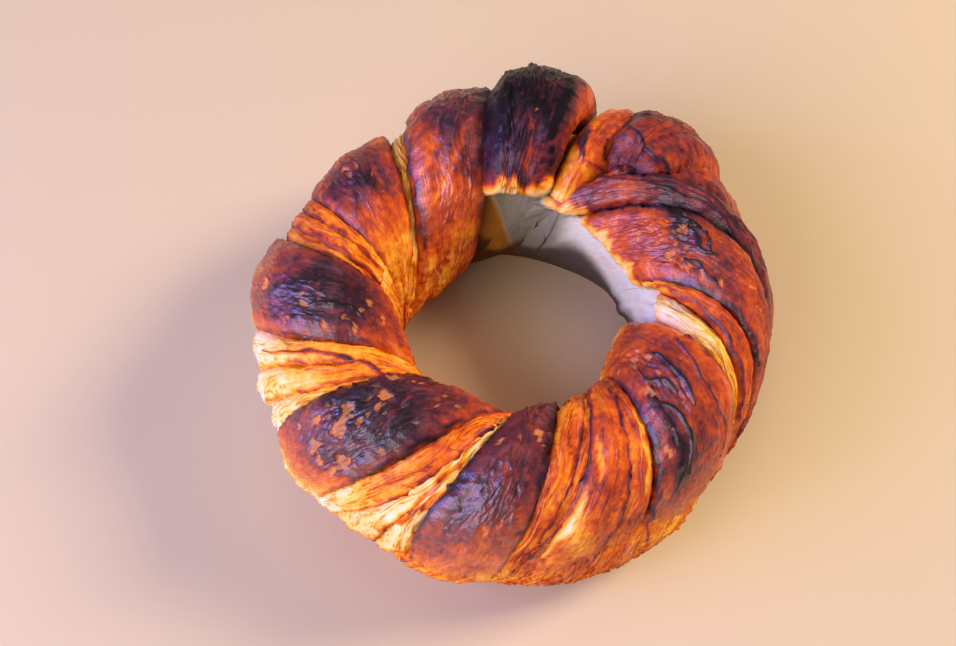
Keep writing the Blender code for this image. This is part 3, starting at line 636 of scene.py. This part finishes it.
# The relief of baked laminated dough, which follows the fold that it is on.
def reliefTree():
    tree = bpy.data.node_groups.new("baked relief", "GeometryNodeTree")
    face = tree.interface
    sockets = {"Geometry": "Geometry", "Finish": "Material", "Seed": "Float"}
    for name, kind in {**sockets, **dict.fromkeys(relief, "Float")}.items():
        face.new_socket(name, in_out="INPUT", socket_type="NodeSocket" + kind)
    face.new_socket("Geometry", in_out="OUTPUT", socket_type="NodeSocketGeometry")
    start = tree.nodes.new("NodeGroupInput").outputs
    finish = tree.nodes.new("NodeGroupOutput")

    across, along, skin, brown, raw, blister, mark, split, raised = (
        addNode(tree, "GeometryNodeInputNamedAttribute", number, {"Name": name})
        for name in "across along skin brown raw blister mark split raised".split())
    notSkin = addNode(tree, "Math", minus, {0: 1.0, 1: skin})
    notRaw = addNode(tree, "MapRange", {}, {0: raw, 3: 1.0, 4: 0.12})
    layered = addNode(tree, "Math", times, {0: notSkin, 1: notRaw})
    sheet = addNode(tree, "CombineXYZ", {}, {0: across, 1: along, 2: start["Seed"]})

    # the layers wander by up to 3.5 mm every 14 mm, as no knife cut them straight
    wander = addNode(tree, "TexNoise", {}, {"Vector": sheet, "Scale": 0.07, "Detail": 1.0})
    wanderBy = addNode(tree, "MapRange", {}, {0: wander, 3: -3.5, 4: 3.5})
    wandered = addNode(tree, "Math", plus, {0: across, 1: wanderBy})
    patterns = []
    for spacing, length, scale, roughness in (("Layer spacing", "Layer length", 0.5, 0.6),
                                              ("Wrinkle spacing", "Wrinkle length", 0.7, 0.55)):
        x = addNode(tree, "Math", over, {0: wandered, 1: start[spacing]})
        y = addNode(tree, "Math", over, {0: along, 1: start[length]})
        spot = addNode(tree, "CombineXYZ", {}, {0: x, 1: y, 2: start["Seed"]})
        patterns.append(addNode(tree, "TexNoise", {},
                                {"Vector": spot, "Scale": scale, "Detail": 3.0,
                                 "Roughness": roughness}))
    layers, wrinkles = patterns
    steps = addNode(tree, "Math", times, {0: layers, 1: 9.0})
    whole = addNode(tree, "Math", {"operation": "FLOOR"}, {0: steps})
    part = addNode(tree, "Math", {"operation": "FRACT"}, {0: steps})
    riser = addNode(tree, "MapRange", eased, {0: part, 1: 0.55, 2: 1.0})
    terrace = addNode(tree, "Math", plus, {0: whole, 1: riser})
    terraceUp = addNode(tree, "MapRange", unclamped, {0: terrace, 1: 2.0, 2: 7.0, 3: -0.5, 4: 0.5})
    layerSize = addNode(tree, "Math", times, {0: terraceUp, 1: start["Layer height"]})
    groove = addNode(tree, "MapRange", eased, {0: part, 1: 0.5, 2: 0.66})
    grooveEnd = addNode(tree, "MapRange", eased, {0: part, 1: 0.66, 2: 0.82, 3: 1.0, 4: 0.0})
    line = addNode(tree, "Math", times, {0: groove, 1: grooveEnd})
    lineDark = addNode(tree, "Math", times, {0: line, 1: layered})
    lineCut = addNode(tree, "Math", timesPlus, {0: line, 1: -0.4, 2: layerSize})
    layerUp = addNode(tree, "Math", times, {0: lineCut, 1: layered})

    # wrinkles of the skin
    fromMiddle = addNode(tree, "Math", minus, {0: wrinkles, 1: 0.5})
    valley = addNode(tree, "Math", {"operation": "ABSOLUTE"}, {0: fromMiddle})
    wrinkleShape = addNode(tree, "MapRange", eased, {0: valley, 1: 0.0, 2: 0.12, 3: -1.0, 4: 0.0})
    wrinkleSize = addNode(tree, "Math", times, {0: wrinkleShape, 1: start["Wrinkle height"]})
    wrinkleUp = addNode(tree, "Math", times, {0: wrinkleSize, 1: skin})

    # blisters, where the fold has them, large and small: cells warped by up to 1.3 mm, so that
    # none is round
    warp = addNode(tree, "TexNoise", {}, {"Vector": sheet, "Scale": 0.6, "Detail": 4.0, "Roughness": 0.65})
    warpBy = addNode(tree, "VectorMath", {"operation": "SCALE"}, {0: warp.outputs["Color"], "Scale": 2.6})
    warped = addNode(tree, "VectorMath", plus, {0: sheet, 1: warpBy})
    stretched = addNode(tree, "VectorMath", times, {0: warped, 1: (1.0, 0.6, 1.0)})
    domes = []
    for size, share in ((1.0, 1.0), (0.45, 0.7)):
        cellScale = addNode(tree, "Math", over, {0: 1 / size, 1: start["Blister spacing"]})
        cells = addNode(tree, "TexVoronoi", {"feature": "F1"}, {"Vector": stretched, "Scale": cellScale})
        chance = addNode(tree, "SeparateXYZ", {}, {0: cells.outputs["Color"]})
        likely = addNode(tree, "Math", times, {0: blister, 1: share})
        shown = addNode(tree, "Math", {"operation": "LESS_THAN"}, {0: chance.outputs[0], 1: likely})
        width = addNode(tree, "MapRange", {}, {0: chance.outputs[1], 3: 0.25, 4: 0.62})
        inner = addNode(tree, "Math", times, {0: width, 1: 0.2})
        rise = addNode(tree, "MapRange", eased,
                       {0: cells.outputs["Distance"], 1: inner, 2: width, 3: 1.0, 4: 0.0})
        dome = addNode(tree, "Math", times, {0: rise, 1: shown})
        dryness = addNode(tree, "Math", times, {0: dome, 1: chance.outputs[2]})
        domes += [dome, dryness]
    smallDome = addNode(tree, "Math", times, {0: domes[2], 1: 0.6})
    dome = addNode(tree, "Math", {"operation": "MAXIMUM"}, {0: domes[0], 1: smallDome})
    dryDome = addNode(tree, "Math", {"operation": "MAXIMUM"}, {0: domes[1], 1: domes[3]})
    dryDome = addNode(tree, "Math", {"operation": "MAXIMUM"}, {0: dryDome, 1: mark})
    blisterUp = addNode(tree, "Math", times, {0: dome, 1: start["Blister height"]})

    # soft lumps
    place = addNode(tree, "GeometryNodeInputPosition")
    perLump = addNode(tree, "Math", over, {0: 1000.0, 1: start["Lump size"]})
    lumps = addNode(tree, "TexNoise", {},
                    {"Vector": place, "Scale": perLump, "Detail": 2.0, "Roughness": 0.45})
    lumpShape = addNode(tree, "MapRange", unclamped, {0: lumps, 1: 0.25, 2: 0.75, 3: -0.5, 4: 0.5})
    lumpUp = addNode(tree, "Math", times, {0: lumpShape, 1: start["Lump height"]})

    height = lumpUp
    for extra in (layerUp, wrinkleUp, blisterUp):
        height = addNode(tree, "Math", plus, {0: height, 1: extra})
    height = addNode(tree, "Math", minus, {0: height, 1: split})
    height = addNode(tree, "Math", plus, {0: height, 1: raised})
    grounded = addNode(tree, "SeparateXYZ", {}, {0: place})
    free = addNode(tree, "MapRange", eased,
                   {0: grounded.outputs[2], 1: 0.0, 2: 0.014})    # the underside stays flat
    height = addNode(tree, "Math", times, {0: height, 1: free})
    metres = addNode(tree, "Math", times, {0: height, 1: 0.001})
    normal = addNode(tree, "GeometryNodeInputNormal")
    shift = addNode(tree, "VectorMath", {"operation": "SCALE"}, {0: normal, "Scale": metres})

    # crevices and split edges are darker, partly browner and partly painted shade in them, and uneven heat
    # leaves clouds
    lineBrownAndShade = addNode(tree, "Math", times, {0: lineDark, 1: browning["line"]})
    paler, darker = browning["layers"]
    layerTone = addNode(tree, "MapRange", unclamped, {0: layers, **noiseSpan, 3: paler, 4: darker})
    layerBrown = addNode(tree, "Math", times, {0: layerTone, 1: layered})
    lumpBrown = addNode(tree, "Math", times, {0: lumpShape, 1: browning["lumps"]})
    wrinkleBrown = addNode(tree, "Math", times, {0: wrinkleUp, 1: browning["wrinkles"]})
    splitBrownAndShade = addNode(tree, "MapRange", eased, {0: split, 1: 0.15, 2: 0.95, 3: 0.0, 4: browning["split"]})
    clouds = addNode(tree, "TexNoise", {},
                     {"Vector": place, "Scale": browning["cloudsPerMetre"], "Detail": 4.0,
                      "Roughness": 0.6})
    paler, darker = browning["clouds"]
    cloudTone = addNode(tree, "MapRange", unclamped, {0: clouds, **noiseSpan, 3: paler, 4: darker})
    cloudBrown = addNode(tree, "Math", times, {0: cloudTone, 1: notRaw})
    uneven = cloudBrown
    for extra in (layerBrown, lumpBrown, wrinkleBrown):
        uneven = addNode(tree, "Math", plus, {0: uneven, 1: extra})
    coloured = addNode(tree, "MapRange", {}, {0: brown, 1: 0.1, 2: 0.45, 3: 0.3})
    tone = addNode(tree, "Math", timesPlus,
                   {0: uneven, 1: coloured, 2: brown})    # pale dough is the most even
    for extra in (lineBrownAndShade, splitBrownAndShade):
        tone = addNode(tree, "Math", plus, {0: tone, 1: extra})

    toned = addNode(tree, "GeometryNodeStoreNamedAttribute", {**number, "domain": "POINT"},
                    {"Geometry": start["Geometry"], "Name": "brown", "Value": tone})
    flaked = addNode(tree, "GeometryNodeStoreNamedAttribute", {**number, "domain": "POINT"},
                     {"Geometry": toned, "Name": "flake", "Value": dryDome})
    moved = addNode(tree, "GeometryNodeSetPosition", {}, {"Geometry": flaked, "Offset": shift})
    realized = addNode(tree, "GeometryNodeRealizeInstances", {}, {"Geometry": moved})
    dressed = addNode(tree, "GeometryNodeSetMaterial", {},
                      {"Geometry": realized, "Material": start["Finish"]})
    tree.links.new(dressed.outputs[0], finish.inputs[0])
    return tree


# Runs a tree on a piece with the given inputs, and leaves a plain mesh.
def runTree(piece, tree, values):
    modifier = piece.modifiers.new(tree.name, "NODES")
    modifier.node_group = tree
    for item in tree.interface.items_tree:
        if item.in_out == "INPUT" and item.name in values:
            modifier[item.identifier] = values[item.name]
    shape = bpy.data.meshes.new_from_object(
        piece.evaluated_get(bpy.context.evaluated_depsgraph_get()))
    piece.modifiers.clear()
    piece.data = shape


crust = {
    # the palest stop, a cool grey for the raw inner wall, is pale dough with painted cool shade; the purple
    # of the darkest stops is partly painted cool reflection on the dark crust
    "ramp": ((0.00, "#c4cfbc"), (0.10, "#f3e4c6"), (0.19, "#f6d594"), (0.30, "#f6b43c"),
             (0.42, "#e2821c"), (0.54, "#ca541a"), (0.65, "#9c3820"), (0.76, "#6a282e"),
             (0.87, "#3a1a2a"), (1.00, "#160c14")),
    "flakeColour": "#c98a55",
    "threadAndSheenColour": "#ecbda4",
    "shadeColour": "#2e2018",
    "pebble": 0.9,       # mm, between the bubbles of the egg wash
    "grain": 0.5,        # mm, the crumbly grain of baked dough
    "mottle": 1.8,       # mm, uneven browning
    "fibre": 0.36,       # mm, between the threads of a cut layer
    "fibreLength": 9.0,  # mm
    "mottleTone": (-0.09, 0.07), "fibreTone": (-0.07, 0.04),    # added to the browning
    "flakeShare": 0.65, "threadAndSheenShare": 0.5, "shadeShare": 0.92, "coatShare": 0.9,
}


# Egg-washed laminated crust: sugars browned from raw cream through gold to near black, glossy
# where the wash dried smooth, dull and pale where the dough was cut or has flaked.
def crustMaterial():
    material = bpy.data.materials.new("egg-washed laminated crust")
    material.use_nodes = True
    tree = material.node_tree
    shader = tree.nodes["Principled BSDF"]
    shader.inputs["IOR"].default_value = 1.45
    shader.inputs["Coat Roughness"].default_value = 0.24
    place = addNode(tree, "TexCoord")
    across, along, brown, skin, raw, flake, shade = (
        addNode(tree, "Attribute", {"attribute_name": name}).outputs["Fac"]
        for name in "across along brown skin raw flake shade".split())
    mottle = addNode(tree, "TexNoise", {},
                     {"Vector": place.outputs["Object"], "Scale": 1000 / crust["mottle"],
                      "Detail": 5.0, "Roughness": 0.65})
    paler, darker = crust["mottleTone"]
    uneven = addNode(tree, "MapRange", unclamped, {0: mottle, **noiseSpan, 3: paler, 4: darker})
    fibrePlace = addNode(tree, "CombineXYZ", {}, {0: across, 1: along})
    fibreScale = addNode(tree, "VectorMath", times,
                         {0: fibrePlace, 1: (1 / crust["fibre"], 1 / crust["fibreLength"], 1.0)})
    fibres = addNode(tree, "TexNoise", {},
                     {"Vector": fibreScale, "Scale": 0.5, "Detail": 5.0, "Roughness": 0.6})
    paler, darker = crust["fibreTone"]
    fibreTone = addNode(tree, "MapRange", unclamped, {0: fibres, **noiseSpan, 3: paler, 4: darker})
    fibreShare = addNode(tree, "MapRange", {}, {0: skin, 1: 0.0, 2: 0.8, 3: 1.0, 4: 0.15})
    fibred = addNode(tree, "Math", timesPlus, {0: fibreTone, 1: fibreShare, 2: uneven})
    calm = addNode(tree, "MapRange", {}, {0: raw, 3: 1.0, 4: 0.25})
    coloured = addNode(tree, "MapRange", {}, {0: brown, 1: 0.1, 2: 0.45, 3: 0.35})
    share = addNode(tree, "Math", times, {0: calm, 1: coloured})
    tone = addNode(tree, "Math", {"operation": "MULTIPLY_ADD", "use_clamp": True},
                   {0: fibred, 1: share, 2: brown})
    ramp = addNode(tree, "ValToRGB", {}, {0: tone})
    stops = ramp.color_ramp.elements
    for stop in list(stops)[1:]:
        stops.remove(stop)
    for i, (position, colour) in enumerate(crust["ramp"]):
        stop = stops[0] if i == 0 else stops.new(position)
        stop.position, stop.color = position, toLinear(colour)
    # pale pink threads on the cut layers, partly their pale edges and partly a painted sheen along them
    threadAndSheenLines = addNode(tree, "MapRange", eased,
                      {0: fibres, 1: 0.53, 2: 0.68, 3: 0.0, 4: crust["threadAndSheenShare"]})
    cutShare = addNode(tree, "MapRange", {}, {0: skin, 1: 0.0, 2: 0.3, 3: 1.0, 4: 0.0})
    threadAndSheenMask = addNode(tree, "Math", times, {0: threadAndSheenLines, 1: cutShare})
    layered = addNode(tree, "Mix", inColour, {0: threadAndSheenMask, 6: ramp, 7: toLinear(crust["threadAndSheenColour"])})
    dry = addNode(tree, "MapRange", eased, {0: flake, 1: 0.2, 2: 0.8, 3: 0.0, 4: crust["flakeShare"]})
    colour = addNode(tree, "Mix", inColour,
                     {0: dry, 6: layered.outputs[2], 7: toLinear(crust["flakeColour"])})
    # painted shade: the inner wall darkens towards its foot and in the corners under the back folds
    paintedShade = addNode(tree, "Math", times, {0: shade, 1: crust["shadeShare"]})
    shaded = addNode(tree, "Mix", inColour,
                     {0: paintedShade, 6: colour.outputs[2], 7: toLinear(crust["shadeColour"])})
    tree.links.new(shaded.outputs[2], shader.inputs["Base Color"])
    gloss = addNode(tree, "MapRange", {}, {0: tone, 1: 0.2, 2: 0.8, 3: 0.6, 4: 0.42})
    matt = addNode(tree, "Math", {"operation": "MULTIPLY_ADD", "use_clamp": True},
                   {0: dry, 1: 0.3, 2: gloss})
    wash = addNode(tree, "Math", {"operation": "SUBTRACT", "use_clamp": True}, {0: skin, 1: dry})
    coat = addNode(tree, "Math", times, {0: wash, 1: crust["coatShare"]})
    mirror = addNode(tree, "MapRange", {}, {0: wash, 3: 0.1, 4: 0.4})
    grain = addNode(tree, "TexNoise", {},
                    {"Vector": place.outputs["Object"], "Scale": 1000 / crust["grain"],
                     "Detail": 2.0})
    roughUp = addNode(tree, "Math", timesPlus, {0: fibres, 1: 1.5, 2: grain})
    bump = addNode(tree, "Bump", {}, {"Strength": 0.45, "Distance": 0.0003, "Height": roughUp})
    pebbles = addNode(tree, "TexNoise", {},
                      {"Vector": place.outputs["Object"], "Scale": 1000 / crust["pebble"],
                       "Detail": 2.0})
    pebbled = addNode(tree, "Bump", {},
                      {"Strength": 0.5, "Distance": 0.0003, "Height": pebbles, "Normal": bump})
    for socket, node in {"Roughness": matt, "Coat Weight": coat, "Specular IOR Level": mirror,
                         "Normal": bump, "Coat Normal": pebbled}.items():
        tree.links.new(node.outputs[0], shader.inputs[socket])
    return material


crumbRing = {    # the plain ring under the folds, seen only where they end underneath
    "segments": 360, "sectionSteps": 120, "lowest": 0.05,    # mm
    "acrossDegree": 0.8, "alongDegree": 0.3,                 # mm of pattern per degree
    "brown": 0.42, "swing": 0.16, "brownest": 160, "skin": 0.6,
    "relief": {"Layer height": 0.2, "Lump height": 0.0, "Wrinkle height": 0.2, "Seed": 3.0},
}


def makeCrumb(name):
    around = np.linspace(0, 360, crumbRing["segments"] + 1)[:-1, None]
    angle = np.linspace(0, 360, crumbRing["sectionSteps"] + 1)[None, :-1]
    places = ringPoint(around + 0 * angle, angle + 0 * around, 0)
    places[..., 2] = np.maximum(places[..., 2] - dough["underside"], crumbRing["lowest"])
    swing = crumbRing["swing"] * np.cos(np.radians(around - crumbRing["brownest"]))
    baked = crumbRing["brown"] + swing + 0 * angle
    none = dict.fromkeys(("blister", "split", "raised", "mark", "raw", "shade"), 0 * baked)
    return asPiece(name, places, gridFaces(*places.shape[:2], True),
                   {"across": around * crumbRing["acrossDegree"] + 0 * angle,
                    "along": angle * crumbRing["alongDegree"] + 0 * around,
                    "brown": baked, "skin": crumbRing["skin"] + 0 * baked, **none})


def asPartOfRing(piece):
    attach(piece, "root")
    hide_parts(solidNode)


seedStep = 7.3    # so that no two folds share a pattern

print("folds of the ring")
finish = crustMaterial()
tree = reliefTree()
pieces = []
for index, name in enumerate(folds):
    piece = makeFold(name)
    runTree(piece, tree, {**relief, "Seed": seedStep * index, "Finish": finish})
    pieces.append(piece)
print("crumb")
crumb = makeCrumb("crumb")
runTree(crumb, tree, {**relief, **crumbRing["relief"], "Finish": finish})
pieces.append(crumb)
for piece in pieces:
    asPartOfRing(piece)
print("faces", sum(len(piece.data.polygons) for piece in pieces))

stage = {    # size in metres
    "floorColour": "#c6b495", "floorSize": 3.0, "floorRoughness": 0.75,
    "roomColour": "#f4ece6", "roomLight": 0.17,
}


def makeFloor():
    half = stage["floorSize"] / 2
    shape = bpy.data.meshes.new("floor")
    shape.from_pydata([(-half, -half, 0), (half, -half, 0), (half, half, 0), (-half, half, 0)],
                      [], [(0, 1, 2, 3)])
    material = bpy.data.materials.new("pale matt board")    # uncoated: even, with no shine
    material.use_nodes = True
    shader = material.node_tree.nodes["Principled BSDF"]
    shader.inputs["Base Color"].default_value = toLinear(stage["floorColour"])
    shader.inputs["Roughness"].default_value = stage["floorRoughness"]
    shape.materials.append(material)
    floor = addToScene("floor", shape)


# The key gives no mirror highlights: the crust only mirrors the window and the fills.
lights = {    # place in metres, size in metres, power in watts
    "warmKey": {"place": (0.90, 0.28, 0.74), "size": 0.4, "power": 17.0, "colour": "#ffe9cc",
                "mirrored": False},
    "blueWindow": {"place": (-0.74, -0.22, 0.44), "size": 0.55, "power": 10.5,
                   "colour": "#9690ff", "mirrored": True},
    "softFill": {"place": (-0.66, -0.76, 0.60), "size": 1.0, "power": 14.5,
                 "colour": "#f2eadc", "mirrored": True},
    "softTop": {"place": (-0.06, 0.20, 1.00), "size": 0.5, "power": 1.2, "colour": "#fff0e4",
                "mirrored": True},
}


# Sets a lamp or the camera at its place, turned to where it aims.
def aimFrom(holder, place, aim):
    holder.location = place
    holder.rotation_euler = (Vector(aim) - Vector(place)).to_track_quat("-Z", "Y").to_euler()


def makeLight(name):
    facts = lights[name]
    lamp = bpy.data.lights.new(name, "AREA")
    lamp.size, lamp.energy = facts["size"], facts["power"]
    lamp.color = toLinear(facts["colour"])[:3]
    holder = addToScene(name, lamp)
    holder.visible_glossy = facts["mirrored"]
    aimFrom(holder, facts["place"], (0, 0, 0))


def makeRoomLight():
    world = bpy.data.worlds.new("soft room light")
    world.use_nodes = True
    background = world.node_tree.nodes["Background"].inputs
    background["Color"].default_value = toLinear(stage["roomColour"])
    background["Strength"].default_value = stage["roomLight"]
    bpy.context.scene.world = world


camera = {    # places in metres, lens and sensor in mm
    "place": (-0.0094, -0.1632, 0.2947), "aim": (-0.0094, 0.0104, 0.0), "lens": 45.2,
    "sensor": 36.0,
}


def makeCamera():
    data = bpy.data.cameras.new("camera")
    data.lens, data.sensor_width = camera["lens"], camera["sensor"]
    holder = addToScene("camera", data)
    aimFrom(holder, camera["place"], camera["aim"])
    bpy.context.scene.camera = holder


print("floor, lights and camera")
makeFloor()
for name in lights:
    makeLight(name)
makeRoomLight()
makeCamera()
bpy.context.scene.view_settings.view_transform = "Standard"
